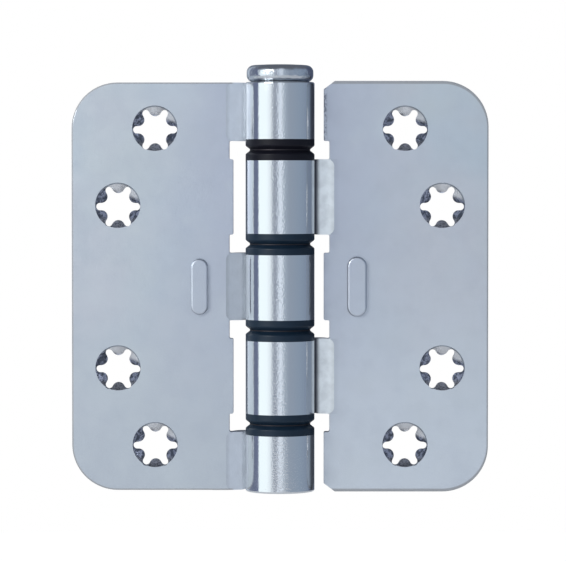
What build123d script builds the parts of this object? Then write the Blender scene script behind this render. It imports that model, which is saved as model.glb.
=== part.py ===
"""Five-knuckle butt hinge, folded from sheet, lying open flat.

The origin is on the pin's axis at the height of the left leaf's bottom edge. +Z runs up the pin, the right leaf
reaches towards +X and the left leaf towards -X. The faces with the screws' seats look towards -Y.
"""
from build123d import *
import os
from math import asin, cos, degrees, radians, sin, tan

# Driving dimensions, in millimetres and degrees

# The leaves
leaf_height = 89.0
leaf_reach = 45.45  # from the pin's axis to a leaf's outer edge
leaf_thickness = 3.0
right_end_overhang = 0.35  # how far the right leaf's ends reach past the left's
outer_corner_radius = 10.0
leaf_edge_round = 0.35  # rolled edge that the press leaves round the front face
closed_gap = 3.0  # between the two front faces when the hinge is shut

# The barrel, which is rolled from the leaves' own sheet
barrel_radius = 7.5
seam_gap = 0.4  # between the end of the rolled sheet and the neck it closes on
end_knuckle_height = 12.4
middle_knuckle_height = 14.1
barrel_rim_round = 0.4  # outer edge of the hinge's two ends
facing_margin = 0.4  # how far past the barrel the cutter reaches that faces the knuckles

# The necks, where the sheet steps back from the leaf to the rear of the barrel: a shallow pressed facet beside
# the leaf, then a steep riser down into the crease beside the barrel
crease_width = 0.8  # from the barrel's side to the facet
facet_width = 3.5  # as seen from the front
facet_angle = 15.0  # slope of the facet
riser_angle = 65.0  # slope of the riser
neck_inner_bend = 0.6
neck_outer_bend = 2.0
facet_corner_round = 1.5  # outer corners of the pressed facet

# The inner edge of a leaf, beside the other leaf's knuckles
left_edge_gap = 2.7
right_edge_gap = 2.05
left_notch_depth = 0.85
right_notch_depth = 1.25
notch_height = 4.0
notch_corner_round = 0.35
end_cut_width = 2.4  # cut corners of the right leaf, beside the end knuckles
end_cut_height = 1.8

# The star-shaped screw holes
corner_hole_reach = 27.3  # from the pin's axis to the two holes near a leaf's corners
corner_hole_spacing = 69.1
edge_hole_reach = 35.4  # the same, for the two holes near a leaf's outer edge
edge_hole_spacing = 35.5
seat_radius = 4.93
seat_wall = 0.5  # upright wall at the seat's mouth
seat_angle = 45.0  # between the seat's slope and its axis
tab_tip_radius = 2.95  # of the circle that the star's round-ended tabs leave
star_slots = 6
star_slot_width = 1.6
star_slot_reach = 4.85
star_drop = 0.3  # how far the star's centre lies under the seat's

# The pressed obround bosses, pushed up from the back
boss_height = 1.0
boss_top_round = 0.45
left_boss_reach = 17.6  # from the pin's axis
left_boss_width = 3.75
left_boss_length = 12.2
right_boss_reach = 16.8
right_boss_width = 4.2
right_boss_length = 13.1
punch_gap = 0.25  # how much narrower the pocket at the back is, on each side

# The bearings between the knuckles
flange_thickness = 2.2
flange_rim = 1.4  # straight part of the flange's edge
groove_depth = 1.0  # of the groove between two flanges
flange_edge_round = 0.4
sleeve_length = 4.5
sleeve_wall = 0.93
sleeve_lead = 0.3
washer_thickness = 0.2
washer_inset = 0.9  # from the barrel's surface to the washer's edge

# The pin and the plug
pin_seat_length = 6.0
pin_tip_chamfer = 0.6
head_inset = 0.25  # from the barrel's surface to the head's
head_height = 3.85
head_edge_round = 1.5
head_crown = 0.3
plug_height = 4.0
plug_chamfer = 0.3

# Fits
push_clearance = 0.02  # bushes, plug and the pin's seat, pushed into the knuckles
running_clearance = 0.05  # pin in the bushes
washer_clearance = 0.15  # pin in the washers

# Places and sizes that follow from them
leaf_front = closed_gap / 2
leaf_back = leaf_front + leaf_thickness
bore_radius = barrel_radius - leaf_thickness
sleeve_radius = bore_radius - push_clearance
bush_bore = sleeve_radius - sleeve_wall
pin_radius = bush_bore - running_clearance
head_radius = barrel_radius - head_inset
joint_height = 2 * flange_thickness + washer_thickness
end_joint_depth = end_knuckle_height + joint_height / 2
middle_joint_offset = (middle_knuckle_height + joint_height) / 2
joint_levels = [
    leaf_height - end_joint_depth,
    leaf_height / 2 + middle_joint_offset,
    leaf_height / 2 - middle_joint_offset,
    end_joint_depth,
]

# Spans between the notches, from the top one down, as (bottom, top)
span_tops = [leaf_height] + [level - notch_height / 2 for level in joint_levels]
span_bottoms = [level + notch_height / 2 for level in joint_levels] + [0.0]
spans = list(zip(span_bottoms, span_tops))
left_spans = spans[0::2]
right_spans = spans[1::2]

# The neck's corners, as (reach, depth): the facet's head, the edge of the crease and the riser's foot
facet_head = (barrel_radius + crease_width + facet_width, leaf_front)
crease_edge = (barrel_radius + crease_width, leaf_front + facet_width * tan(radians(facet_angle)))
riser_run = (bore_radius - crease_edge[1]) / tan(radians(riser_angle))
riser_foot = (crease_edge[0] - riser_run, bore_radius)
neck_root = facet_head[0] + leaf_thickness

# The rolled sheet ends on a radius, with its outer corner just in front of the neck
seam_angle = degrees(asin((bore_radius - seam_gap) / barrel_radius))
wrap_angle = 270 + seam_angle

# The head's crown is part of a large sphere
crown_radius = (head_radius**2 + head_crown**2) / (2 * head_crown)
crown_angle = degrees(asin(head_radius / crown_radius))

front_plane = Plane.XZ.offset(-leaf_front)
back_plane = Plane.XZ.offset(-leaf_back)
seat_floor_plane = Plane.XZ.offset(-leaf_front - seat_wall)
cone_depth = (seat_radius - tab_tip_radius) / tan(radians(seat_angle))

near_reach = 0.001  # how close counts as on a line, when an edge or corner is picked

hole_places = [
    (corner_hole_reach, leaf_height / 2 + corner_hole_spacing / 2),
    (edge_hole_reach, leaf_height / 2 + edge_hole_spacing / 2),
    (edge_hole_reach, leaf_height / 2 - edge_hole_spacing / 2),
    (corner_hole_reach, leaf_height / 2 - corner_hole_spacing / 2),
]


def near(value, target):
    """Whether a vertex lies on a line of the drawing."""
    return abs(value - target) < near_reach


def plate_sketch(inner_edge, notch_depth, end_overhang, ends_cut):
    """The plate seen from the front, on the +X side: a comb with a tongue between each two notches."""
    with BuildSketch(front_plane) as plate:
        with Locations((inner_edge, -end_overhang)):
            Rectangle(leaf_reach - inner_edge, leaf_height + 2 * end_overhang, align=Align.MIN)
        for level in joint_levels:
            with Locations((inner_edge, level)):
                Rectangle(2 * notch_depth, notch_height, mode=Mode.SUBTRACT)
        if ends_cut:
            for end, towards in ((-end_overhang, 1), (leaf_height + end_overhang, -1)):
                with BuildLine():
                    Polyline(
                        (inner_edge, end),
                        (inner_edge + end_cut_width, end),
                        (inner_edge, end + towards * end_cut_height),
                        close=True,
                    )
                make_face(mode=Mode.SUBTRACT)
    return plate.sketch


def behind(corner, slope_before, slope_after):
    """The corner at the sheet's back, behind a corner of its front between two slopes in degrees."""
    middle = radians((slope_before + slope_after) / 2)
    turn = radians(slope_after - slope_before)
    distance = leaf_thickness / cos(turn / 2)
    return (corner[0] + distance * sin(middle), corner[1] + distance * cos(middle))


def corners_at(sketch, *points):
    """The vertices of a sketch that lie at the given points."""
    return [v for v in sketch.vertices() if any(near(v.X, x) and near(v.Y, y) for x, y in points)]


def knuckle_sketch(bottom):
    """Section of a neck and its rolled knuckle, on the +X side: the sheet goes round the rear of the bore."""
    facet_head_back = behind(facet_head, 0, facet_angle)
    crease_back = behind(crease_edge, facet_angle, riser_angle)
    riser_foot_back = behind(riser_foot, riser_angle, 0)
    with BuildSketch(Plane.XY.offset(bottom)) as section:
        with BuildLine():
            Polyline(
                (0, bore_radius),
                riser_foot,
                crease_edge,
                facet_head,
                (neck_root, leaf_front),
                (neck_root, leaf_back),
                facet_head_back,
                crease_back,
                riser_foot_back,
                (0, barrel_radius),
            )
            rolled_outside = CenterArc((0, 0), barrel_radius, 90, wrap_angle)
            rolled_inside = CenterArc((0, 0), bore_radius, 90, wrap_angle)
            Line(rolled_outside @ 1, rolled_inside @ 1)
        make_face()
        fillet(corners_at(section, riser_foot, crease_edge, facet_head, crease_back), neck_inner_bend)
        fillet(corners_at(section, riser_foot_back), neck_outer_bend)
    return section.sketch


def press_space(bottom, top):
    """The space in front of a neck's facet, with the rounded outer corners that the press tool leaves."""
    with BuildPart() as space:
        with BuildSketch(Plane.XY.offset(bottom)) as above_facet:
            with BuildLine():
                Polyline(
                    (barrel_radius, 0),
                    (neck_root, 0),
                    (neck_root, leaf_front),
                    facet_head,
                    crease_edge,
                    (barrel_radius, crease_edge[1]),
                    close=True,
                )
            make_face()
            fillet(corners_at(above_facet, facet_head), neck_inner_bend)
        extrude(amount=top - bottom)
        with BuildSketch(Plane.XZ) as window:
            with Locations((0, bottom)):
                Rectangle(facet_head[0], top - bottom, align=Align.MIN)
            fillet([v for v in window.vertices() if near(v.X, facet_head[0])], facet_corner_round)
        extrude(amount=-barrel_radius, mode=Mode.INTERSECT)
    return space.part


def star_sketch():
    """The opening through the leaf, around its own centre: round-ended slots, and a round tab between each two."""
    slot_corner_radius = star_slot_width / 2 / sin(radians(180 / star_slots))
    tab_round = (tab_tip_radius - slot_corner_radius) / (1 / sin(radians(180 / star_slots)) - 1)
    with BuildSketch() as star:
        with PolarLocations(0, star_slots):
            with Locations((star_slot_reach - star_slot_width / 2, 0)):
                Circle(star_slot_width / 2)
            Rectangle(
                star_slot_reach - star_slot_width / 2,
                star_slot_width,
                align=(Align.MIN, Align.CENTER),
            )
        slot_corners = [v for v in star.vertices() if near(Vector(v).length, slot_corner_radius)]
        fillet(slot_corners, tab_round)
    return star.sketch


def make_leaf(label, own_spans, edge_gap, notch_depth, end_overhang, ends_cut, boss_place, boss_size, left_hand):
    """One leaf with its necks and knuckles, drawn on the +X side and mirrored for the left."""
    inner_edge = barrel_radius + edge_gap
    notch_edge = inner_edge + notch_depth
    star = star_sketch()
    with BuildPart() as leaf:
        extrude(plate_sketch(inner_edge, notch_depth, end_overhang, ends_cut), amount=-leaf_thickness)
        upright = leaf.edges().filter_by(Axis.Y)
        fillet(upright.filter_by(lambda e: near(e.center().X, leaf_reach)), outer_corner_radius)
        tongue_corners = upright.filter_by(
            lambda e: e.center().X < notch_edge + near_reach
            and end_cut_height + near_reach < e.center().Z < leaf_height - end_cut_height - near_reach
        )
        fillet(tongue_corners, notch_corner_round)
        fillet(leaf.faces().sort_by(Axis.Y)[0].outer_wire().edges(), leaf_edge_round)

        # Necks and knuckles
        for bottom, top in own_spans:
            extrude(knuckle_sketch(bottom), amount=top - bottom)
        for bottom, top in own_spans:
            add(press_space(bottom, top), mode=Mode.SUBTRACT)
        for level in joint_levels:
            with BuildSketch(Plane.XY.offset(level - joint_height / 2)):
                Circle(barrel_radius + facing_margin)
            extrude(amount=joint_height, mode=Mode.SUBTRACT)
        end_rims = (
            leaf.edges()
            .filter_by(GeomType.CIRCLE)
            .filter_by(lambda e: near(e.radius, barrel_radius))
            .filter_by(lambda e: near(e.center().Z, 0) or near(e.center().Z, leaf_height))
        )
        if end_rims:
            fillet(end_rims, barrel_rim_round)

        # Screw holes: an upright mouth, a countersunk seat and the star through the leaf
        for reach, level in hole_places:
            with BuildSketch(front_plane):
                with Locations((reach, level)):
                    Circle(seat_radius)
            extrude(amount=-seat_wall, mode=Mode.SUBTRACT)
            with BuildSketch(seat_floor_plane):
                with Locations((reach, level)):
                    Circle(seat_radius)
            extrude(amount=-cone_depth, taper=seat_angle, mode=Mode.SUBTRACT)
            with BuildSketch(front_plane):
                with Locations((reach, level - star_drop)):
                    add(star)
            extrude(amount=-leaf_thickness, mode=Mode.SUBTRACT)

        # The boss, and the pocket that its punch leaves at the back
        boss_width, boss_length = boss_size
        with BuildSketch(front_plane):
            with Locations((boss_place, leaf_height / 2)):
                SlotOverall(boss_length, boss_width, rotation=90)
        extrude(amount=boss_height)
        boss_top = leaf.faces().filter_by(Axis.Y).filter_by(lambda f: near(f.center().Y, leaf_front - boss_height))
        fillet(boss_top.edges(), boss_top_round)
        with BuildSketch(back_plane):
            with Locations((boss_place, leaf_height / 2)):
                SlotOverall(boss_length - 2 * punch_gap, boss_width - 2 * punch_gap, rotation=90)
        extrude(amount=boss_height, mode=Mode.SUBTRACT)
        if left_hand:
            mirror(about=Plane.YZ, mode=Mode.REPLACE)
    leaf.part.label = label
    return leaf


def make_bush(label, level, towards):
    """A flanged bush pushed into a knuckle's end. It stands above its joint where towards is 1, below it for -1."""
    flange_face = washer_thickness / 2
    flange_back = flange_face + flange_thickness
    sleeve_end = flange_back + sleeve_length
    with BuildPart() as bush:
        with BuildSketch(Plane.XZ) as half:
            with BuildLine():
                Polyline(
                    (bush_bore, level + towards * flange_face),
                    (barrel_radius - groove_depth, level + towards * flange_face),
                    (barrel_radius, level + towards * (flange_back - flange_rim)),
                    (barrel_radius, level + towards * flange_back),
                    (sleeve_radius, level + towards * flange_back),
                    (sleeve_radius, level + towards * (sleeve_end - sleeve_lead)),
                    (sleeve_radius - sleeve_lead, level + towards * sleeve_end),
                    (bush_bore, level + towards * sleeve_end),
                    close=True,
                )
            make_face()
            rim = half.vertices().filter_by(lambda v: near(v.X, barrel_radius))
            groove_side = rim.sort_by(Axis.Y)[0 if towards > 0 else -1]
            fillet(groove_side, flange_edge_round)
        revolve(axis=Axis.Z)
    bush.part.label = label
    return bush


def make_washer(label, level):
    """The thin thrust washer between the two flanges of a joint."""
    with BuildPart() as washer:
        with BuildSketch(Plane.XY.offset(level - washer_thickness / 2)):
            Circle(barrel_radius - washer_inset)
            Circle(pin_radius + washer_clearance, mode=Mode.SUBTRACT)
        extrude(amount=washer_thickness)
    washer.part.label = label
    return washer


os.makedirs("parts", exist_ok=True)

# Left leaf, with the two end knuckles and the middle one
left_leaf = make_leaf(
    "left_leaf",
    left_spans,
    edge_gap=left_edge_gap,
    notch_depth=left_notch_depth,
    end_overhang=0,
    ends_cut=False,
    boss_place=left_boss_reach,
    boss_size=(left_boss_width, left_boss_length),
    left_hand=True,
)

# Right leaf, with the two knuckles between them
right_leaf = make_leaf(
    "right_leaf",
    right_spans,
    edge_gap=right_edge_gap,
    notch_depth=right_notch_depth,
    end_overhang=right_end_overhang,
    ends_cut=True,
    boss_place=right_boss_reach,
    boss_size=(right_boss_width, right_boss_length),
    left_hand=False,
)

# Pin: a shank, a thicker seat that grips the top knuckle, and a button head
with BuildPart() as hinge_pin:
    with BuildSketch(Plane.XZ) as pin_half:
        with BuildLine():
            Polyline(
                (0, leaf_height + head_height),
                (0, plug_height),
                (pin_radius - pin_tip_chamfer, plug_height),
                (pin_radius, plug_height + pin_tip_chamfer),
                (pin_radius, leaf_height - pin_seat_length),
                (sleeve_radius, leaf_height - pin_seat_length),
                (sleeve_radius, leaf_height),
                (head_radius, leaf_height),
                (head_radius, leaf_height + head_height - head_crown),
            )
            CenterArc((0, leaf_height + head_height - crown_radius), crown_radius, 90 - crown_angle, crown_angle)
        make_face()
        head_corners = pin_half.vertices().filter_by(lambda v: near(v.X, head_radius))
        fillet(head_corners, head_edge_round)
    revolve(axis=Axis.Z)
hinge_pin.part.label = "hinge_pin"

# Plug that closes the lowest knuckle, flush with its end
with BuildPart() as bottom_plug:
    Cylinder(sleeve_radius, plug_height, align=(Align.CENTER, Align.CENTER, Align.MIN))
    chamfer(bottom_plug.edges().sort_by(Axis.Z)[-1], plug_chamfer)
bottom_plug.part.label = "bottom_plug"

pieces = [left_leaf, right_leaf, hinge_pin, bottom_plug]
for number, level in enumerate(joint_levels, start=1):
    pieces.append(make_bush(f"joint{number}_upper_bush", level, 1))
    pieces.append(make_washer(f"joint{number}_washer", level))
    pieces.append(make_bush(f"joint{number}_lower_bush", level, -1))

for piece in pieces:
    export_step(piece.part, f"parts/{piece.part.label}.step")
    print(piece.part.label, round(piece.part.volume, 1), "mm3")
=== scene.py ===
# %% [markdown]
# # A folded steel butt hinge
#
# This lesson dresses the imported CAD model of a hinge. The model comes in as a fixed frame: every node
# already has its right shape and place, in metres, with the pin's axis on Z and the left leaf's bottom edge
# at Z = 0. So all the work here is on the finishes, the light and the camera.

# %% Load the frame
import math

import bmesh
import bpy
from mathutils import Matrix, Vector

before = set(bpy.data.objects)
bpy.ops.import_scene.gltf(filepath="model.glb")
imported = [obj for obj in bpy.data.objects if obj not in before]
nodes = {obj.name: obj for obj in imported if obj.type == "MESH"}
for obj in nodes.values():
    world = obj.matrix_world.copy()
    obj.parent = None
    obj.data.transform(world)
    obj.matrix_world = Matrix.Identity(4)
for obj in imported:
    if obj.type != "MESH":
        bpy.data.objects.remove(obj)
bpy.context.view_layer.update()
scene = bpy.context.scene
scene.view_settings.view_transform = "Standard"
MM = 0.001

# %% [markdown]
# ## The camera
#
# The photograph was taken with a long lens from almost straight in front, a little above the hinge's
# middle: the top of the pin's head just shows, and the knuckles' lower rims curve slightly. A camera 674 mm
# from the pin's axis, aimed a little above the middle, gives the same small curves. Its field is 123 mm
# wide at the leaves.

# %% Camera
CAMERA_DISTANCE = 674 * MM
CAMERA_HEIGHT = 68.5 * MM
AIM_HEIGHT = 45.9 * MM
AIM_ACROSS = 0.64 * MM
LENS = 197.0
SENSOR_WIDTH = 36.0

lens_data = bpy.data.cameras.new("front_camera")
lens_data.lens = LENS
lens_data.sensor_fit = "HORIZONTAL"
lens_data.sensor_width = SENSOR_WIDTH
lens_data.clip_start = 10 * MM
camera = bpy.data.objects.new("front_camera", lens_data)
scene.collection.objects.link(camera)
camera.location = (AIM_ACROSS, -CAMERA_DISTANCE, CAMERA_HEIGHT)
aim = Vector((AIM_ACROSS, 0, AIM_HEIGHT)) - camera.location
camera.rotation_euler = aim.to_track_quat("-Z", "Y").to_euler()
scene.camera = camera
print("camera looks down by", round(math.degrees(math.asin(-aim.normalized().z)), 2), "degrees")

# %% [markdown]
# ## Small helpers for node trees
#
# Every finish below is a node tree. These helpers add a node with its options set and join its sockets, so
# that each material reads as a short list. A value that is the same all over a piece is set on the socket
# itself.


# %% Helpers for single nodes
def add_node(tree, kind, **options):
    """Adds a node and sets the options given by name."""
    node = tree.nodes.new(kind)
    for name, value in options.items():
        setattr(node, name, value)
    return node


def math_node(tree, operation, first, second=None, clamp=False):
    """A Math node on sockets or numbers, and its output."""
    node = add_node(tree, "ShaderNodeMath", operation=operation, use_clamp=clamp)
    for index, value in enumerate((first, second)):
        if isinstance(value, bpy.types.NodeSocket):
            tree.links.new(value, node.inputs[index])
        elif value is not None:
            node.inputs[index].default_value = value
    return node.outputs[0]


def product(tree, *factors):
    """The product of two or more sockets or numbers."""
    total = factors[0]
    for factor in factors[1:]:
        total = math_node(tree, "MULTIPLY", total, factor)
    return total


def length(tree, first, second):
    """The length of a line that goes so far one way and so far at right angles to it."""
    squares = [math_node(tree, "POWER", step, 2) for step in (first, second)]
    return math_node(tree, "SQRT", math_node(tree, "ADD", *squares))


def map_range(tree, value, low, high, to_low=0.0, to_high=1.0, smooth=True):
    """A clamped Map Range from low..high to to_low..to_high, and its output."""
    node = add_node(tree, "ShaderNodeMapRange", interpolation_type="SMOOTHSTEP" if smooth else "LINEAR")
    tree.links.new(value, node.inputs["Value"])
    node.inputs["From Min"].default_value = low
    node.inputs["From Max"].default_value = high
    node.inputs["To Min"].default_value = to_low
    node.inputs["To Max"].default_value = to_high
    return node.outputs["Result"]


print("helpers for single nodes ready")

# %% [markdown]
# Colours and patterns need a Mix node and a Noise texture. A Mix node has one set of sockets for each kind
# of data, all with the same names, so its colour sockets are found by their type.


# %% Helpers for mixes and noise
def mix_colour(tree, factor, first, second):
    """A colour Mix of two sockets or RGB triples, and its output."""
    node = add_node(tree, "ShaderNodeMix", data_type="RGBA")
    tree.links.new(factor, node.inputs["Factor"])
    for name, value in (("A", first), ("B", second)):
        socket = next(s for s in node.inputs if s.name == name and s.type == "RGBA")
        if isinstance(value, bpy.types.NodeSocket):
            tree.links.new(value, socket)
        else:
            socket.default_value = (*value, 1.0)
    return next(s for s in node.outputs if s.type == "RGBA")


def mix_values(tree, factor, first, second):
    """A Mix of two value sockets or numbers, and its output."""
    node = add_node(tree, "ShaderNodeMix", data_type="FLOAT")
    for name, value in (("Factor", factor), ("A", first), ("B", second)):
        if isinstance(value, bpy.types.NodeSocket):
            tree.links.new(value, node.inputs[name])
        else:
            node.inputs[name].default_value = value
    return node.outputs["Result"]


def noise(tree, vector, scale, detail=2.0):
    """A Noise texture on a vector in millimetres, at a scale that is a number or a socket."""
    node = add_node(tree, "ShaderNodeTexNoise")
    tree.links.new(vector, node.inputs["Vector"])
    if isinstance(scale, bpy.types.NodeSocket):
        tree.links.new(scale, node.inputs["Scale"])
    else:
        node.inputs["Scale"].default_value = scale
    node.inputs["Detail"].default_value = detail
    return node.outputs["Fac"]


print("helpers for mixes and noise ready")

# %% [markdown]
# ## The studio
#
# Polished steel has hardly any colour of its own: it shows the room. The knuckles in the photograph carry
# upright bands, so the room has a large white softbox at the front left, a narrow lamp beside the camera, a
# grey-blue wall on the right and dark curtains between them. Such a room can be built from lamps and cards,
# but a world that changes with direction has no edges to place and no noise. The camera itself sees plain
# white. The steel doesn't, because a barrel that mirrored an even white would lose its bands.

# %% World
ROOM_BRIGHTNESS = 1.5
ROOM_BANDS = [
    # direction in degrees from the camera's side, positive to the right, and the colour seen there
    (-180, (0.08, 0.10, 0.14)),
    (-158, (0.12, 0.14, 0.17)),
    (-150, (0.43, 0.48, 0.55)),
    (-138, (0.40, 0.45, 0.52)),
    (-123, (0.16, 0.18, 0.24)),
    (-100, (0.12, 0.14, 0.20)),
    (-79, (0.12, 0.14, 0.22)),
    (-75, (0.80, 0.88, 0.90)),
    (-45, (0.79, 0.86, 0.88)),
    (-32, (0.66, 0.71, 0.75)),
    (-21, (0.25, 0.28, 0.33)),
    (-11, (0.20, 0.22, 0.27)),
    (-5, (0.60, 0.66, 0.74)),
    (5, (0.66, 0.71, 0.78)),
    (12, (0.32, 0.37, 0.43)),
    (30, (0.24, 0.28, 0.34)),
    (70, (0.21, 0.26, 0.33)),
    (105, (0.18, 0.22, 0.29)),
    (124, (0.05, 0.06, 0.10)),
    (180, (0.08, 0.10, 0.14)),
]
CEILING = (0.10, 0.11, 0.13)
CEILING_REACH = (0.35, 0.85)  # sines of the angles above the horizon where it starts and is full


def room_colour(tree):
    """The banded room, by direction, with a dark ceiling."""
    direction = add_node(tree, "ShaderNodeTexCoord")
    axes = add_node(tree, "ShaderNodeSeparateXYZ")
    tree.links.new(direction.outputs["Generated"], axes.inputs[0])
    to_the_front = math_node(tree, "MULTIPLY", axes.outputs["Y"], -1.0)
    angle = math_node(tree, "ARCTAN2", axes.outputs["X"], to_the_front)
    bands = add_node(tree, "ShaderNodeValToRGB")
    tree.links.new(map_range(tree, angle, -math.pi, math.pi, smooth=False), bands.inputs["Fac"])
    ramp = bands.color_ramp
    while len(ramp.elements) < len(ROOM_BANDS):
        ramp.elements.new(0.5)
    for element, (degrees, colour) in zip(ramp.elements, ROOM_BANDS):
        element.position = (degrees + 180) / 360
        element.color = (*colour, 1.0)
    up = map_range(tree, axes.outputs["Z"], *CEILING_REACH)
    return mix_colour(tree, up, bands.outputs["Color"], CEILING)


def make_world():
    """A white background for the camera, and a banded room for everything that the object reflects."""
    world = bpy.data.worlds.new("studio")
    scene.world = world
    world.use_nodes = True
    tree = world.node_tree
    tree.nodes.clear()
    lit_room = add_node(tree, "ShaderNodeBackground")
    tree.links.new(room_colour(tree), lit_room.inputs["Color"])
    lit_room.inputs["Strength"].default_value = ROOM_BRIGHTNESS
    white = add_node(tree, "ShaderNodeBackground")
    white.inputs["Color"].default_value = (1, 1, 1, 1)
    path = add_node(tree, "ShaderNodeLightPath").outputs
    seen = math_node(tree, "ADD", path["Is Camera Ray"], path["Is Transmission Ray"], clamp=True)
    choice = add_node(tree, "ShaderNodeMixShader")
    tree.links.new(seen, choice.inputs["Fac"])
    tree.links.new(lit_room.outputs[0], choice.inputs[1])
    tree.links.new(white.outputs[0], choice.inputs[2])
    output = add_node(tree, "ShaderNodeOutputWorld")
    tree.links.new(choice.outputs[0], output.inputs["Surface"])


make_world()
print("room bands:", len(ROOM_BANDS))

# %% [markdown]
# The hinge is held by its screws and doesn't stand on anything, so the floor lies 60 mm below it. It is
# pale, and much of its whiteness is its own for the camera, so that it meets the white background without a
# line.

# %% Floor
FLOOR_DROP = 60 * MM
FLOOR_RADIUS = 0.45
FLOOR_COLOUR = (0.85, 0.86, 0.87, 1)
FLOOR_ROUGHNESS = 0.9
GLOW_FOR_ROOM = 0.25
GLOW_FOR_CAMERA = 0.75


def make_floor():
    """A round pale floor, small enough for the barrel to reflect the room past its edge."""
    disc = bmesh.new()
    bmesh.ops.create_circle(disc, cap_ends=True, segments=96, radius=FLOOR_RADIUS)
    bmesh.ops.translate(disc, verts=disc.verts, vec=(0, 0, -FLOOR_DROP))
    mesh = bpy.data.meshes.new("studio_floor")
    disc.to_mesh(mesh)
    disc.free()
    floor = bpy.data.objects.new("studio_floor", mesh)
    scene.collection.objects.link(floor)
    return floor


def make_floor_white():
    """A matt white that glows more for the camera than for the room."""
    material = bpy.data.materials.new("studio_floor_white")
    material.use_nodes = True
    tree = material.node_tree
    shader = tree.nodes["Principled BSDF"]
    shader.inputs["Base Color"].default_value = FLOOR_COLOUR
    shader.inputs["Roughness"].default_value = FLOOR_ROUGHNESS
    glow = add_node(tree, "ShaderNodeEmission")
    path = add_node(tree, "ShaderNodeLightPath")
    strength = mix_values(tree, path.outputs["Is Camera Ray"], GLOW_FOR_ROOM, GLOW_FOR_CAMERA)
    tree.links.new(strength, glow.inputs["Strength"])
    both = add_node(tree, "ShaderNodeAddShader")
    tree.links.new(shader.outputs[0], both.inputs[0])
    tree.links.new(glow.outputs[0], both.inputs[1])
    tree.links.new(both.outputs[0], tree.nodes["Material Output"].inputs["Surface"])
    return material


floor = make_floor()
floor.data.materials.append(make_floor_white())
print("floor", round(FLOOR_DROP / MM), "mm below the hinge")

# %% [markdown]
# The world gives the reflections and most of the light. One soft lamp on the side of the softbox, above the
# camera's height, adds a gentle fall from left to right on the satin leaves.

# %% Lamp
SOFTBOX_PLACE = (-0.55, -0.60, 0.35)
SOFTBOX_SIZE = 0.35
SOFTBOX_WATTS = 3.0

softbox_data = bpy.data.lights.new("softbox_front_left", "AREA")
softbox_data.size = SOFTBOX_SIZE
softbox_data.energy = SOFTBOX_WATTS
softbox = bpy.data.objects.new("softbox_front_left", softbox_data)
scene.collection.objects.link(softbox)
softbox.location = SOFTBOX_PLACE
towards = Vector((0, 0, AIM_HEIGHT)) - softbox.location
softbox.rotation_euler = towards.to_track_quat("-Z", "Y").to_euler()
print("softbox", round(towards.length, 2), "m away")

# %% [markdown]
# ## Effects that several finishes share
#
# The steel parts are all folded or turned from bright plated steel. What tells them apart is how far each
# surface was rubbed: the flat leaves are satin, the barrel is polished. Every finish needs its place on the
# hinge in millimetres, and the distance from the pin says which surface is part of the barrel. Each effect
# that several materials use is a node group, built once, so each material sets its own values.


# %% Group: millimetres and distance from the pin
def new_group(name, inputs, outputs):
    """A shader node group with its sockets, as (group, input node, output node)."""
    group = bpy.data.node_groups.new(name, "ShaderNodeTree")
    for label, kind, value in inputs:
        socket = group.interface.new_socket(label, in_out="INPUT", socket_type=kind)
        if value is not None:
            socket.default_value = value
    for label, kind in outputs:
        group.interface.new_socket(label, in_out="OUTPUT", socket_type=kind)
    return group, group.nodes.new("NodeGroupInput"), group.nodes.new("NodeGroupOutput")


def make_place_group():
    """Object coordinates in millimetres, and a surface point's distance from the pin's axis."""
    group, _, out = new_group(
        "place_on_hinge",
        inputs=[],
        outputs=[("Millimetres", "NodeSocketVector"), ("Distance from pin", "NodeSocketFloat")],
    )
    coordinates = add_node(group, "ShaderNodeTexCoord")
    scaled = add_node(group, "ShaderNodeVectorMath", operation="SCALE")
    scaled.inputs["Scale"].default_value = 1 / MM
    group.links.new(coordinates.outputs["Object"], scaled.inputs[0])
    level = add_node(group, "ShaderNodeVectorMath", operation="MULTIPLY")
    level.inputs[1].default_value = (1, 1, 0)
    group.links.new(scaled.outputs[0], level.inputs[0])
    distance = add_node(group, "ShaderNodeVectorMath", operation="LENGTH")
    group.links.new(level.outputs[0], distance.inputs[0])
    group.links.new(scaled.outputs[0], out.inputs["Millimetres"])
    group.links.new(distance.outputs["Value"], out.inputs["Distance from pin"])
    return group


place_on_hinge = make_place_group()
print(place_on_hinge.name, "ready")

# %% [markdown]
# Zinc plating is never one even colour. Where the bath left it a little thicker it turns from steel blue
# towards violet or green, in soft clouds a few centimetres wide. Two slow noises, one moved well away from
# the other, push the base colour towards each tint.

# %% Group: cloudy plating
CLOUD_SHIFTS = ((0, 0, 0), (71, 13, 37))
CLOUD_RANGE = (0.38, 0.68)


def make_cloud_group():
    """Soft clouds of two tints over a base colour."""
    group, given, out = new_group(
        "cloudy_plating",
        [
            ("Millimetres", "NodeSocketVector", None),
            ("Base", "NodeSocketColor", (0.5, 0.5, 0.5, 1)),
            ("Cool tint", "NodeSocketColor", (0.5, 0.5, 0.5, 1)),
            ("Warm tint", "NodeSocketColor", (0.5, 0.5, 0.5, 1)),
            ("Clouds per mm", "NodeSocketFloat", 0.05),
        ],
        [("Color", "NodeSocketColor")],
    )
    colour = given.outputs["Base"]
    for shift, tint in zip(CLOUD_SHIFTS, ("Cool tint", "Warm tint")):
        moved = add_node(group, "ShaderNodeVectorMath", operation="ADD")
        moved.inputs[1].default_value = shift
        group.links.new(given.outputs["Millimetres"], moved.inputs[0])
        clouds = noise(group, moved.outputs[0], given.outputs["Clouds per mm"], detail=3.0)
        mask = map_range(group, clouds, *CLOUD_RANGE)
        colour = mix_colour(group, mask, colour, given.outputs[tint])
    group.links.new(colour, out.inputs["Color"])
    return group


cloudy_plating = make_cloud_group()
print(cloudy_plating.name, "ready")

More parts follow.
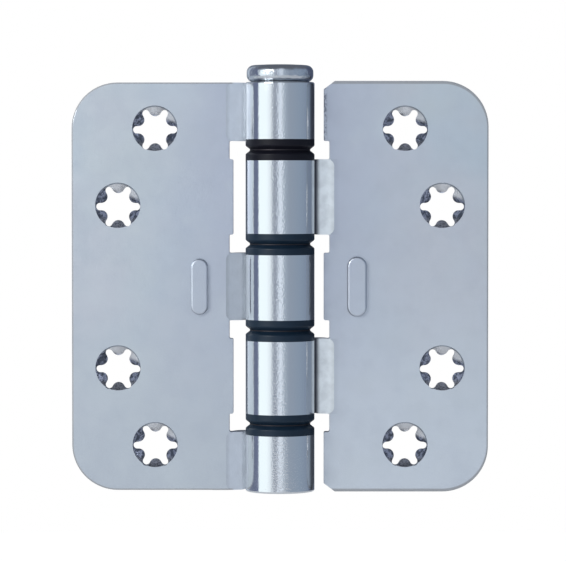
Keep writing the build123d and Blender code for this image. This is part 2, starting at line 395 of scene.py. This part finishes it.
# %% [markdown]
# The photograph's reflections have ragged edges: the polish leaves a fine grain. The group puts out a
# height for a Bump node, and a mask that is about eight times coarser, so that the roughness can vary in
# patches over the grain. Most of a noise lies between 0.3 and 0.7, so each material stretches that range of
# the mask over its two values.

# %% Group: fine grain
MASK_TO_GRAIN = 0.12
MASK_RANGE = (0.3, 0.7)


def make_grain_group():
    """A grain height and a coarser mask from two noises."""
    group, given, out = new_group(
        "fine_grain",
        [("Millimetres", "NodeSocketVector", None), ("Grain per mm", "NodeSocketFloat", 2.0)],
        [("Height", "NodeSocketFloat"), ("Mask", "NodeSocketFloat")],
    )
    millimetres = given.outputs["Millimetres"]
    grain_scale = given.outputs["Grain per mm"]
    mask_scale = math_node(group, "MULTIPLY", grain_scale, MASK_TO_GRAIN)
    group.links.new(noise(group, millimetres, grain_scale, detail=3.0), out.inputs["Height"])
    group.links.new(noise(group, millimetres, mask_scale, detail=1.0), out.inputs["Mask"])
    return group


fine_grain = make_grain_group()
print(fine_grain.name, "ready")

# %% [markdown]
# ## Marks of the press
#
# A leaf's screw seats, necks and rolled outer edge have finishes of their own. The CAD mesh is one piece
# with one material, and its faces aren't sorted, so the marks are found by their place. They lie at the
# same places on both leaves: mirroring across the pin and across the middle height folds eight seats into
# two, each a round patch. Vertex colours could hold the marks too, but the CAD mesh stays as it is.
#
# From here on a pair of numbers says where a mask or a change starts and where it ends. Places are in
# millimetres.

# %% Screw seats found by distance
LEAF_MIDDLE = 44.5
HOLE_PLACES = ((27.3, 34.55), (35.4, 17.75))
SEAT_RADIUS = 4.93
SEAT_EDGE = (SEAT_RADIUS + 0.03, SEAT_RADIUS - 0.03)
SEAT_RIM = (SEAT_RADIUS - 0.35, SEAT_RADIUS - 0.15)
SEAT_DEPTH = (4.3, 4.2)


def seat_marks(group, axes, across, up, from_middle):
    """The seats, their rims, and the place in a seat to the right of and above its centre."""
    side = math_node(group, "SIGN", axes.outputs["X"])
    half = math_node(group, "SIGN", from_middle)
    in_front = map_range(group, axes.outputs["Y"], *SEAT_DEPTH)
    totals = {}
    for hole_across, hole_up in HOLE_PLACES:
        aside = math_node(group, "SUBTRACT", across, hole_across)
        above = math_node(group, "SUBTRACT", up, hole_up)
        distance = length(group, aside, above)
        seat = product(group, map_range(group, distance, *SEAT_EDGE), in_front)
        parts = {
            "Seat": seat,
            "Seat rim": product(group, map_range(group, distance, *SEAT_RIM), seat),
            "Seat right": product(group, aside, side, seat),
            "Seat height": product(group, above, half, seat),
        }
        for label, part in parts.items():
            totals[label] = math_node(group, "ADD", totals[label], part) if label in totals else part
    return totals


print("seats on each leaf:", 2 * len(HOLE_PLACES))

# %% [markdown]
# The outer edge is a rounded rectangle, so its mask is a distance too, from the rectangle that the corners
# turn on. The necks are bands of height, different ones for each leaf. A face that was cut by the press
# shows by its normal, which lies in the sheet, and a facet of a neck by its normal's small lean to the
# side.

# %% Outline, necks and directions
OUTER_EDGE = 45.45
CORNER_RADIUS = 10.0
ROLLED_EDGE = (CORNER_RADIUS - 0.45, CORNER_RADIUS - 0.15)
ROLLED_DEPTH = (2.0, 1.8)
MIDDLE_NECK_END = 7.35
RIGHT_NECK_START = 11.35
RIGHT_NECK_END = 27.8
END_NECK_START = 31.8
CUT_FACING = (0.25, 0.1)


def outline_marks(group, axes, across, up):
    """The rolled edge round the front of a leaf."""
    past_side = math_node(group, "SUBTRACT", across, OUTER_EDGE - CORNER_RADIUS)
    past_end = math_node(group, "SUBTRACT", up, LEAF_MIDDLE - CORNER_RADIUS)
    steps = [math_node(group, "MAXIMUM", step, 0) for step in (past_side, past_end)]
    edge = map_range(group, length(group, *steps), *ROLLED_EDGE)
    on_front = map_range(group, axes.outputs["Y"], *ROLLED_DEPTH)
    return {"Outer edge": product(group, edge, on_front)}


def neck_marks(group, up):
    """The heights of each leaf's necks."""
    over_start = math_node(group, "GREATER_THAN", up, RIGHT_NECK_START)
    under_end = math_node(group, "LESS_THAN", up, RIGHT_NECK_END)
    at_middle = math_node(group, "LESS_THAN", up, MIDDLE_NECK_END)
    at_ends = math_node(group, "GREATER_THAN", up, END_NECK_START)
    return {
        "Middle neck": at_middle,
        "Left necks": math_node(group, "ADD", at_middle, at_ends),
        "Right necks": product(group, over_start, under_end),
    }


def direction_marks(group):
    """Faces that the press cut, and the lean of a face to the side."""
    shape = add_node(group, "ShaderNodeNewGeometry")
    local = add_node(group, "ShaderNodeVectorTransform", vector_type="NORMAL")
    local.convert_from = "WORLD"
    local.convert_to = "OBJECT"
    group.links.new(shape.outputs["Normal"], local.inputs[0])
    facing = add_node(group, "ShaderNodeSeparateXYZ")
    group.links.new(local.outputs[0], facing.inputs[0])
    frontal = math_node(group, "ABSOLUTE", facing.outputs["Y"])
    return {
        "Cut face": map_range(group, frontal, *CUT_FACING),
        "Slope": math_node(group, "ABSOLUTE", facing.outputs["X"]),
    }


print("neck bands end at", MIDDLE_NECK_END, "and", RIGHT_NECK_END, "mm from the leaf's middle")

# %% [markdown]
# Both leaf materials read the same marks, so the marks go into one group.

# %% Group: press marks
MARKS = (
    "Seat", "Seat rim", "Seat right", "Seat height", "Outer edge",
    "Cut face", "Slope", "Middle neck", "Left necks", "Right necks",
)


def make_press_group():
    """All the marks that the press left on a leaf, as masks and places."""
    group, given, out = new_group(
        "press_marks",
        [("Millimetres", "NodeSocketVector", None)],
        [(label, "NodeSocketFloat") for label in MARKS],
    )
    axes = add_node(group, "ShaderNodeSeparateXYZ")
    group.links.new(given.outputs["Millimetres"], axes.inputs[0])
    across = math_node(group, "ABSOLUTE", axes.outputs["X"])
    from_middle = math_node(group, "SUBTRACT", axes.outputs["Z"], LEAF_MIDDLE)
    up = math_node(group, "ABSOLUTE", from_middle)
    found = seat_marks(group, axes, across, up, from_middle)
    found.update(outline_marks(group, axes, across, up))
    found.update(neck_marks(group, up))
    found.update(direction_marks(group))
    for label in MARKS:
        group.links.new(found[label], out.inputs[label])
    return group


press_marks = make_press_group()
print(press_marks.name, "ready with", len(MARKS), "marks")

# %% [markdown]
# ## The leaves and their knuckles
#
# Each leaf is one sheet, so its plate and knuckles share one mesh and one material. The plate is satin:
# broad, soft reflections and cloudy plating. The knuckles are polished: sharp bands with ragged edges. The
# distance from the pin mixes the two, with the change at the foot of the necks, where the polishing wheel
# can't reach.
#
# Left and right differ: the right leaf's necks are painted paler than its plate, a painted highlight, with
# painted shade in the crease beside the barrel, and the left leaf's are hardly seen. So each leaf has its
# own values for the same tree: lit and shaded copies of one finish.

# %% The two leaves' own values
# Painted light and shade: the facet tones are painted pale on the right leaf and near the plate's tone on
# the left; crease_shadow and press_shadow set painted shade; the two dark_in_mirror values set a painted
# reflection.
LEFT_LOOK = {
    "necks": "Left necks",
    "foot": (0.575, 0.615, 0.655),
    "facet": (0.60, 0.64, 0.70),
    "middle_facet_painted_light": (0.49, 0.525, 0.575),
    "facet_mottle": 0.95,
    "crease_shadow": 0.0,
    "press_shadow": 0.0,
    "plate_dark_in_mirror": 0.0,
    "neck_dark_in_mirror": 0.1,
    "torn_edge": 0.0,
}
RIGHT_LOOK = {
    "necks": "Right necks",
    "foot": (0.68, 0.72, 0.765),
    "facet": (0.97, 1.0, 1.0),
    "middle_facet_painted_light": (0.97, 1.0, 1.0),
    "facet_mottle": 0.88,
    "crease_shadow": 0.95,
    "press_shadow": 0.12,
    "plate_dark_in_mirror": 0.82,
    "neck_dark_in_mirror": 0.0,
    "torn_edge": 0.75,
}
print("values a leaf:", len(LEFT_LOOK))

# %% [markdown]
# The material asks the same questions many times: how far from the pin, how high, on the front or not, on a
# neck or not. They are answered once, and the answers are handed on by name.

# %% Where a point of the leaf lies
OFF_BARREL = (7.6, 7.9)
FRONT_DEPTH = (4.48, 4.38)


def use_group(tree, group, **values):
    """A group node in a material with its own values."""
    node = add_node(tree, "ShaderNodeGroup", node_tree=group)
    for name, value in values.items():
        node.inputs[name.replace("_", " ")].default_value = value
    return node


def leaf_places(tree, look):
    """The place of a point on its leaf, and the masks that follow from it."""
    place = use_group(tree, place_on_hinge)
    millimetres = place.outputs["Millimetres"]
    distance = place.outputs["Distance from pin"]
    marks = use_group(tree, press_marks)
    tree.links.new(millimetres, marks.inputs["Millimetres"])
    axes = add_node(tree, "ShaderNodeSeparateXYZ")
    tree.links.new(millimetres, axes.inputs[0])
    in_front = map_range(tree, axes.outputs["Y"], *FRONT_DEPTH)
    return {
        "millimetres": millimetres,
        "distance": distance,
        "across": math_node(tree, "ABSOLUTE", axes.outputs["X"]),
        "depth": axes.outputs["Y"],
        "height": axes.outputs["Z"],
        "marks": marks.outputs,
        "in front": in_front,
        "at neck": product(tree, marks.outputs[look["necks"]], in_front),
        "off barrel": map_range(tree, distance, *OFF_BARREL),
    }


print("the barrel's finish ends", OFF_BARREL[1], "mm from the pin")

# %% [markdown]
# The plate's colour is built up as the real one was. Cloudy plating comes first, a little darker and bluer
# towards the barrel and with another tint at the foot. Then come faint stains and paler patches where a
# cloth wiped it.

# %% Plate colour
LEAF_BASE = (0.600, 0.640, 0.660)
LEAF_COOL = (0.560, 0.618, 0.668)
LEAF_WARM = (0.605, 0.622, 0.662)
NEAR_BARREL = (0.530, 0.562, 0.635)
OUTWARDS = (10, 34)
FOOT_HEIGHT = (60, 0)
CLOUDS_PER_MM = 0.035
STAINS_PER_MM = 0.22
STAIN_RANGE = (0.35, 0.75)
STAIN_MOST = 0.16
STAIN_COLOUR = (0.42, 0.45, 0.52)
WIPES_PER_MM = 0.11
WIPED_RANGE = (0.5, 0.75)
WIPED_MOST = 0.22
WIPED_COLOUR = (0.72, 0.77, 0.78)


def plate_colour(tree, where, look):
    """Cloudy plating with its tints, stains and wiped patches."""
    millimetres = where["millimetres"]
    clouds = use_group(
        tree,
        cloudy_plating,
        Base=(*LEAF_BASE, 1),
        Cool_tint=(*LEAF_COOL, 1),
        Warm_tint=(*LEAF_WARM, 1),
        Clouds_per_mm=CLOUDS_PER_MM,
    )
    tree.links.new(millimetres, clouds.inputs["Millimetres"])
    outwards = map_range(tree, where["distance"], *OUTWARDS)
    plate = mix_colour(tree, outwards, NEAR_BARREL, clouds.outputs["Color"])
    plate = mix_colour(tree, map_range(tree, where["height"], *FOOT_HEIGHT), plate, look["foot"])
    stains = noise(tree, millimetres, STAINS_PER_MM, detail=4.0)
    plate = mix_colour(tree, map_range(tree, stains, *STAIN_RANGE, 0.0, STAIN_MOST), plate, STAIN_COLOUR)
    wiped = noise(tree, millimetres, WIPES_PER_MM, detail=5.0)
    return mix_colour(tree, map_range(tree, wiped, *WIPED_RANGE, 0.0, WIPED_MOST), plate, WIPED_COLOUR)


print("a stain is about", round(1 / STAINS_PER_MM), "mm wide")

# %% [markdown]
# A neck steps back from the leaf to the rear of the barrel. The press coined a shallow facet in it, flat
# and frosted with a fine random mottle. On the right leaf the facet is painted pale, a painted highlight,
# which the camera sees as a pale block with rounded corners, with a painted shadow as a soft dark line
# round the block, and towards its outer end it is painted a little darker. On the left leaf its painted
# tone is near the plate's, and darker at the middle neck. The facet's place is known by its distance from
# the pin, and its exact outline by its slope.

# %% Neck colour
FACET_END = 11.9
FACET_REACH = (FACET_END + 0.5, FACET_END)
FACET_SLOPE = (0.02, 0.08)
FACET_FADE = (10.9, 11.8)
FACET_SHADED_TONE = 0.86
FROST_PER_MM = 0.6
PRESS_SHADOW = (FACET_END + 1.3, FACET_END + 0.1)
PRESS_SHADOW_COLOUR = tuple(0.5 * part for part in NEAR_BARREL)
# Painted shade: the fold beside the barrel is darkened where shade falls.
CREASE = (8.9, 7.7)
CREASE_SHADE_COLOUR = (0.03, 0.03, 0.05)


def add_facet_painted_light(tree, where, look, plate):
    """Painted shadow round the facet, and the facet's painted light with its random mottle, over the
    plate's colour.
    """
    distance = where["distance"]
    # Painted shadow: a soft dark line round the facet.
    shadow = product(tree, map_range(tree, distance, *PRESS_SHADOW), where["at neck"], look["press_shadow"])
    plate = mix_colour(tree, shadow, plate, PRESS_SHADOW_COLOUR)
    sloping = map_range(tree, where["marks"]["Slope"], *FACET_SLOPE)
    facet = product(tree, sloping, map_range(tree, distance, *FACET_REACH), where["at neck"])
    mottle = noise(tree, where["millimetres"], FROST_PER_MM, detail=4.0)
    frost = map_range(tree, mottle, *MASK_RANGE, look["facet_mottle"], 1.0)
    # Random frost mottle, and painted shade towards the facet's outer end.
    brightness = product(tree, frost, map_range(tree, distance, *FACET_FADE, 1.0, FACET_SHADED_TONE))
    # Painted light: each leaf's facet tone, pale on the right leaf.
    tone = mix_colour(tree, where["marks"]["Middle neck"], look["facet"], look["middle_facet_painted_light"])
    return mix_colour(tree, facet, plate, mix_colour(tree, brightness, (0.0, 0.0, 0.0), tone))


def add_crease_shade(tree, where, look, plate):
    """Painted shade in the fold between a neck and the barrel."""
    fold = map_range(tree, where["across"], *CREASE)
    shadow = product(tree, fold, where["at neck"], look["crease_shadow"])
    return mix_colour(tree, shadow, plate, CREASE_SHADE_COLOUR)


print("facets end", FACET_END, "mm from the pin")

# %% [markdown]
# The sheet's edges show how it was cut. The sheared faces are a plain darker grey, the rolled outer edge is
# painted a browner, darker grey as painted shade, and near the top of the right leaf's inner edge the shear
# tore the front face in small dark flecks.

# %% Edge colour
CUT_COLOUR = (0.46, 0.47, 0.50)
# Painted shade: the rolled outer edge is darkened to a browner grey.
EDGE_SHADE_COLOUR = (0.37, 0.365, 0.365)
EDGE_SHADE_STRENGTH = 0.8
TORN_COLOUR = (0.10, 0.11, 0.14)
TORN_ACROSS = (10.5, 9.7)
TORN_HEIGHT = (73, 77)
FLECKS_PER_MM = 2.2
FLECK_RANGE = (0.46, 0.58)


def add_edges(tree, where, look, plate):
    """Torn flecks, sheared faces and the painted shade on the rolled outer edge over the plate's colour."""
    near_cut = product(tree, map_range(tree, where["across"], *TORN_ACROSS), where["in front"])
    high_up = map_range(tree, where["height"], *TORN_HEIGHT)
    flecks = map_range(tree, noise(tree, where["millimetres"], FLECKS_PER_MM, detail=3.0), *FLECK_RANGE)
    torn = product(tree, near_cut, high_up, flecks, look["torn_edge"])
    plate = mix_colour(tree, torn, plate, TORN_COLOUR)
    plate = mix_colour(tree, where["marks"]["Cut face"], plate, CUT_COLOUR)
    # Painted shade on the rolled outer edge.
    return mix_colour(tree, product(tree, where["marks"]["Outer edge"], EDGE_SHADE_STRENGTH), plate, EDGE_SHADE_COLOUR)


print("torn flecks from", TORN_HEIGHT[0], "mm up")

# %% [markdown]
# A screw seat is a cone that six slots cut into tabs. Its tones are painted light and shade: the upper tabs
# and those to the upper right are painted pale, the others painted dark, the bottom one a mid grey, with a
# thin painted shade along the upper rim, and random blotches and small specks on the dark tabs. Light alone
# makes them all alike in a soft room, so the light and shade are painted in the colour, by the place in the
# seat. They stay with the part when it turns or the camera moves.

# %% Seat colour
# Painted light and shade in the seats: pale tabs at the top and upper right, dark ones elsewhere, a mid
# grey bottom tab and a dark upper rim. Blotches and specks are random tone.
LEAN_TO_THE_RIGHT = 0.35
LIT_TAB_HEIGHT = (2.3, 3.4)
LIT_TAB_COLOUR = (0.80, 0.79, 0.79)
BLOTCHES_PER_MM = 0.9
BLOTCH_RANGE = (0.42, 0.58)
SHADED_BLOTCH_COLOURS = ((0.09, 0.10, 0.13), (0.30, 0.32, 0.41))
BOTTOM_TAB_SHADE_HEIGHT = (-2.4, -3.4)
BOTTOM_TAB_SHADE_MOST = 0.7
BOTTOM_TAB_SHADE_COLOUR = (0.27, 0.27, 0.29)
SPECK_RANGE = (0.50, 0.62)
SPECK_MOST = 0.7
SPECK_COLOUR = (0.05, 0.06, 0.08)
UPPER_RIM_SHADE_HEIGHT = (1.5, 3.0)
UPPER_RIM_SHADE_COLOUR = (0.32, 0.35, 0.39)


def seat_painted_light(tree, where, spots):
    """Painted light and shade on a seat's tabs: pale at the top and upper right, dark and blotched
    elsewhere.
    """
    marks = where["marks"]
    lean = product(tree, marks["Seat right"], LEAN_TO_THE_RIGHT)
    towards_light = math_node(tree, "ADD", lean, marks["Seat height"])
    # Painted light: pale tabs at the top and upper right.
    pale = map_range(tree, towards_light, *LIT_TAB_HEIGHT)
    blotches = noise(tree, where["millimetres"], BLOTCHES_PER_MM, detail=3.0)
    # Painted shade with random blotches on the other tabs.
    dark = mix_colour(tree, map_range(tree, blotches, *BLOTCH_RANGE), *SHADED_BLOTCH_COLOURS)
    tabs = mix_colour(tree, pale, dark, LIT_TAB_COLOUR)
    # Painted shade on the bottom tab.
    bottom = map_range(tree, marks["Seat height"], *BOTTOM_TAB_SHADE_HEIGHT, 0.0, BOTTOM_TAB_SHADE_MOST)
    tabs = mix_colour(tree, bottom, tabs, BOTTOM_TAB_SHADE_COLOUR)
    on_dark = math_node(tree, "SUBTRACT", SPECK_MOST, pale, clamp=True)
    specks = product(tree, map_range(tree, spots, *SPECK_RANGE), on_dark)
    tabs = mix_colour(tree, specks, tabs, SPECK_COLOUR)
    # Painted shade along the upper rim.
    upper_rim_shade = product(tree, marks["Seat rim"], map_range(tree, towards_light, *UPPER_RIM_SHADE_HEIGHT))
    return mix_colour(tree, upper_rim_shade, tabs, UPPER_RIM_SHADE_COLOUR)


print("a seat's tabs turn pale from", LIT_TAB_HEIGHT[0], "to", LIT_TAB_HEIGHT[1], "mm above its centre")

# %% [markdown]
# Steel beside steel mirrors itself. Two corrections by Light Path's Is Glossy Ray keep that as the
# photograph has it: beside the barrel the right plate is dark in the barrel's mirror, which gives the
# barrel its dark right edge, and a seat's own tone doesn't count twice, because it lights itself like a
# bowl. Light Path stays in the material, since the export can't read it in a group.

# %% Leaf colour
# Painted reflection: for glossy rays the right plate near the barrel, and the left necks a little, are
# painted dark.
DARK_IN_MIRROR = (11.5, 19)
MIRRORED_COLOUR = (0.02, 0.02, 0.03)
KNUCKLE_COLOUR = (0.72, 0.74, 0.76)


def leaf_colour(tree, where, look, spots):
    """The colour of plate, necks, edges, seats and knuckles, with their painted light, shade and
    reflections.
    """
    plate = plate_colour(tree, where, look)
    plate = add_facet_painted_light(tree, where, look, plate)
    plate = add_crease_shade(tree, where, look, plate)
    plate = add_edges(tree, where, look, plate)
    glossy_ray = add_node(tree, "ShaderNodeLightPath").outputs["Is Glossy Ray"]
    # Painted reflection: the plate's colour darkened only for glossy rays.
    on_plate = map_range(tree, where["distance"], *DARK_IN_MIRROR, look["plate_dark_in_mirror"], 0.0)
    darkness = mix_values(tree, where["at neck"], on_plate, look["neck_dark_in_mirror"])
    plate = mix_colour(tree, product(tree, glossy_ray, darkness), plate, MIRRORED_COLOUR)
    # Glossy rays see a seat white, so that its painted light and shade don't count twice.
    seat = mix_colour(tree, glossy_ray, seat_painted_light(tree, where, spots), (1.0, 1.0, 1.0))
    plate = mix_colour(tree, where["marks"]["Seat"], plate, seat)
    return mix_colour(tree, where["off barrel"], KNUCKLE_COLOUR, plate)


print("the right plate is dark in the mirror up to", DARK_IN_MIRROR[1], "mm from the pin")

# %% [markdown]
# The frosted facets and the rolled edges scatter light, so they are lit as if they were nearly as flat as
# the plate. Their shading normal is bent towards the front, in the leaf's own direction, so it turns with
# the leaf. The grain is weak on the barrel, apart from a line down its front where the polish was torn a
# little.

# %% Leaf normal
FLATNESS = 0.9
GRAIN_DEPTH = 0.05 * MM
PLATE_GRAIN = 0.4
BARREL_GRAIN = 0.25
FRONT_LINE_GRAIN = 1.0
FRONT_LINE_ACROSS = (2.4, 0.8)
FRONT_LINE_DEPTH = (-2, -5)


def flattened_normal(tree, where):
    """The shape's normal, bent forward on facets and rolled edges."""
    geometry = add_node(tree, "ShaderNodeNewGeometry")
    forward = add_node(tree, "ShaderNodeVectorTransform", vector_type="NORMAL")
    forward.convert_from = "OBJECT"
    forward.convert_to = "WORLD"
    forward.inputs[0].default_value = (0, -1, 0)
    not_cut = math_node(tree, "SUBTRACT", 1.0, where["marks"]["Cut face"], clamp=True)
    beside_barrel = map_range(tree, where["distance"], *FACET_REACH)
    region = math_node(tree, "MAXIMUM", beside_barrel, where["marks"]["Outer edge"])
    flat = product(tree, region, not_cut, where["in front"], where["off barrel"], FLATNESS)
    normal = add_node(tree, "ShaderNodeMix", data_type="VECTOR")
    tree.links.new(flat, normal.inputs["Factor"])
    first, second = [s for s in normal.inputs if s.type == "VECTOR" and s.name in ("A", "B")]
    tree.links.new(geometry.outputs["Normal"], first)
    tree.links.new(forward.outputs[0], second)
    return next(s for s in normal.outputs if s.type == "VECTOR")


def leaf_normal(tree, where, grain_height):
    """The flattened normal with the grain's bumps."""
    on_line = map_range(tree, where["across"], *FRONT_LINE_ACROSS)
    front_line = product(tree, on_line, map_range(tree, where["depth"], *FRONT_LINE_DEPTH))
    on_barrel = map_range(tree, front_line, 0, 1, BARREL_GRAIN, FRONT_LINE_GRAIN)
    bump = add_node(tree, "ShaderNodeBump")
    tree.links.new(mix_values(tree, where["off barrel"], on_barrel, PLATE_GRAIN), bump.inputs["Strength"])
    bump.inputs["Distance"].default_value = GRAIN_DEPTH
    tree.links.new(grain_height, bump.inputs["Height"])
    tree.links.new(flattened_normal(tree, where), bump.inputs["Normal"])
    return bump.outputs["Normal"]


print("grain depth", round(GRAIN_DEPTH / MM, 3), "mm")

# %% [markdown]
# Now the material is put together. Roughness follows the grain's mask between two values on each surface:
# satin on the plate, smoother in the seats, polished on the barrel.

# %% Leaf material
SATIN = (0.40, 0.48)
SEAT_SMOOTH = (0.24, 0.32)
POLISHED = (0.04, 0.10)
LEAF_GRAIN_PER_MM = 2.6


def make_leaf_steel(name, look):
    """Satin plate, frosted facets and smooth seats with painted light and shade, and polished knuckles in
    one material.
    """
    material = bpy.data.materials.new(name)
    material.use_nodes = True
    tree = material.node_tree
    shader = tree.nodes["Principled BSDF"]
    shader.inputs["Metallic"].default_value = 1.0
    where = leaf_places(tree, look)
    grain = use_group(tree, fine_grain, Grain_per_mm=LEAF_GRAIN_PER_MM)
    tree.links.new(where["millimetres"], grain.inputs["Millimetres"])
    tree.links.new(leaf_colour(tree, where, look, grain.outputs["Height"]), shader.inputs["Base Color"])
    satin, smooth, polished = [
        map_range(tree, grain.outputs["Mask"], *MASK_RANGE, *limits)
        for limits in (SATIN, SEAT_SMOOTH, POLISHED)
    ]
    rough = mix_values(tree, where["marks"]["Seat"], satin, smooth)
    tree.links.new(mix_values(tree, where["off barrel"], polished, rough), shader.inputs["Roughness"])
    tree.links.new(leaf_normal(tree, where, grain.outputs["Height"]), shader.inputs["Normal"])
    return material


def dress(node_name, material):
    """Gives a CAD node its one material."""
    slots = nodes[node_name].data.materials
    slots.clear()
    slots.append(material)


left_leaf_steel = make_leaf_steel("plated_steel_left_leaf", LEFT_LOOK)
right_leaf_steel = make_leaf_steel("plated_steel_right_leaf", RIGHT_LOOK)
dress("left_leaf", left_leaf_steel)
dress("right_leaf", right_leaf_steel)
print("leaf material nodes:", len(left_leaf_steel.node_tree.nodes))

# %% [markdown]
# ## The pin, its plug and the washers
#
# The pin's head is turned and tumbled: as bright as the knuckles, with soft dents that pull its highlights
# out of shape. The plug has the same finish. The dents could be pressed into the mesh, but a bump of under
# half a millimetre gives the same highlights and leaves the CAD shape as it is. The washers are stamped
# steel, but their colour is painted nearly black, painted shade for the depth of their grooves, so that
# only their edges show. One function with its own values for each makes both.

# %% Pin and washer materials
DULLER = 0.85
ROUGHER = 0.08
DENT_STRENGTH = 0.5


def make_bright_steel(name, colour, roughness, dents_per_mm, dent_depth):
    """Turned steel with shallow dents."""
    material = bpy.data.materials.new(name)
    material.use_nodes = True
    tree = material.node_tree
    shader = tree.nodes["Principled BSDF"]
    shader.inputs["Metallic"].default_value = 1.0
    place = use_group(tree, place_on_hinge)
    grain = use_group(tree, fine_grain, Grain_per_mm=dents_per_mm)
    tree.links.new(place.outputs["Millimetres"], grain.inputs["Millimetres"])
    dull = tuple(DULLER * part for part in colour)
    tree.links.new(mix_colour(tree, grain.outputs["Mask"], colour, dull), shader.inputs["Base Color"])
    rough = map_range(tree, grain.outputs["Mask"], *MASK_RANGE, roughness, roughness + ROUGHER)
    tree.links.new(rough, shader.inputs["Roughness"])
    bump = add_node(tree, "ShaderNodeBump")
    bump.inputs["Strength"].default_value = DENT_STRENGTH
    bump.inputs["Distance"].default_value = dent_depth
    tree.links.new(grain.outputs["Height"], bump.inputs["Height"])
    tree.links.new(bump.outputs["Normal"], shader.inputs["Normal"])
    return material


pin_steel = make_bright_steel(
    "pin_bright_steel",
    colour=(0.68, 0.71, 0.75),
    roughness=0.15,
    dents_per_mm=0.6,
    dent_depth=0.45 * MM,
)
washer_steel = make_bright_steel(
    "washer_steel_in_painted_shade",
    # Nearly black: painted shade for the washers deep in their grooves.
    colour=(0.05, 0.045, 0.05),
    roughness=0.40,
    dents_per_mm=3.0,
    dent_depth=0.01 * MM,
)
for node_name in ("hinge_pin", "bottom_plug"):
    dress(node_name, pin_steel)
for joint in range(1, 5):
    dress(f"joint{joint}_washer", washer_steel)
print("bright steel on the pin and the plug, stamped steel on 4 washers")

# %% [markdown]
# ## The bushes
#
# The grooved rings between the knuckles are moulded plastic, nearly black. Three joints look navy, the top
# one a browner black. A flat black would read as a hole in the picture. The moulded skin is smooth with a
# faint stipple, so it shows the softbox as a dull blue glow. The sheen is the shader's own Specular IOR
# Level, the same all over.

# %% Bush materials
PALER = 1.5
PLASTIC_ROUGHNESS = (0.34, 0.46)
STIPPLE_PER_MM = 4.0
STIPPLE_STRENGTH = 0.4
STIPPLE_DEPTH = 0.01 * MM


def make_bush_plastic(name, colour, sheen):
    """Dark moulded plastic with a faint stipple."""
    material = bpy.data.materials.new(name)
    material.use_nodes = True
    tree = material.node_tree
    shader = tree.nodes["Principled BSDF"]
    place = use_group(tree, place_on_hinge)
    grain = use_group(tree, fine_grain, Grain_per_mm=STIPPLE_PER_MM)
    tree.links.new(place.outputs["Millimetres"], grain.inputs["Millimetres"])
    paler = tuple(PALER * part for part in colour)
    tree.links.new(mix_colour(tree, grain.outputs["Mask"], colour, paler), shader.inputs["Base Color"])
    shader.inputs["Specular IOR Level"].default_value = sheen
    rough = map_range(tree, grain.outputs["Mask"], *MASK_RANGE, *PLASTIC_ROUGHNESS)
    tree.links.new(rough, shader.inputs["Roughness"])
    bump = add_node(tree, "ShaderNodeBump")
    bump.inputs["Strength"].default_value = STIPPLE_STRENGTH
    bump.inputs["Distance"].default_value = STIPPLE_DEPTH
    tree.links.new(grain.outputs["Height"], bump.inputs["Height"])
    tree.links.new(bump.outputs["Normal"], shader.inputs["Normal"])
    return material


top_bush_plastic = make_bush_plastic("bush_plastic_brown_black", colour=(0.006, 0.006, 0.010), sheen=0.15)
navy_bush_plastic = make_bush_plastic("bush_plastic_navy_black", colour=(0.006, 0.016, 0.030), sheen=0.25)
for joint in range(1, 5):
    for side in ("upper", "lower"):
        dress(f"joint{joint}_{side}_bush", top_bush_plastic if joint == 1 else navy_bush_plastic)
print("8 bushes dressed")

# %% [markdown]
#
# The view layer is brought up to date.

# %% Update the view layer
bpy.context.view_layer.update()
